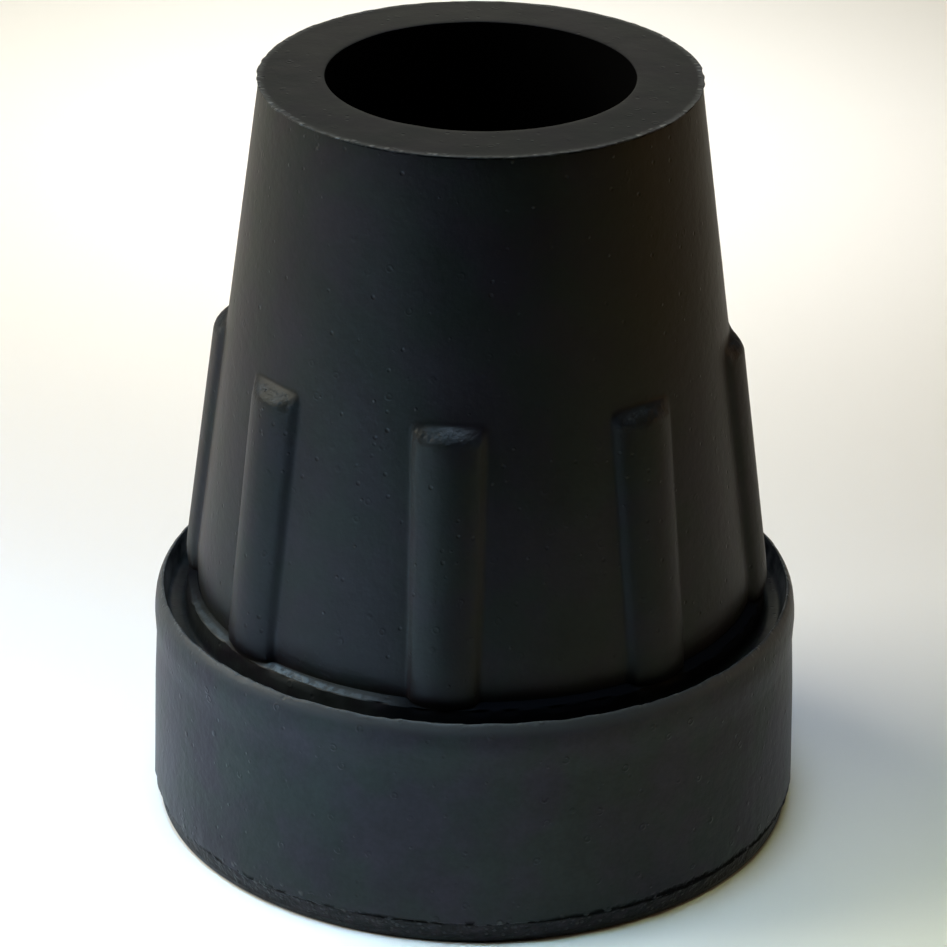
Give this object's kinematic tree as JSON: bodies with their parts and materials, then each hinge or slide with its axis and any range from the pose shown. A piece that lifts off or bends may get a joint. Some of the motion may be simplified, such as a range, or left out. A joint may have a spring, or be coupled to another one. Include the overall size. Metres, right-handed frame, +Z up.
{
  "type": "rubber cane tip",
  "caption": "Tapered rubber sleeve with a blind socket for a cane's end, raised ribs round its lower half, and a broad round foot with a free-standing rim and a ringed tread.",
  "frame": {"origin": "centre of the tread, on the face that meets the ground", "axes": "+Z runs up the cane and out of the socket's mouth, -Y is the front, +X is to the right"},
  "size_m": [0.0476, 0.0476, 0.0565],
  "materials": {
    "black_rubber": "moulded matte"
  },
  "bodies": {
    "root": {"cane_tip": "black_rubber"}
  },
  "joints": []
}
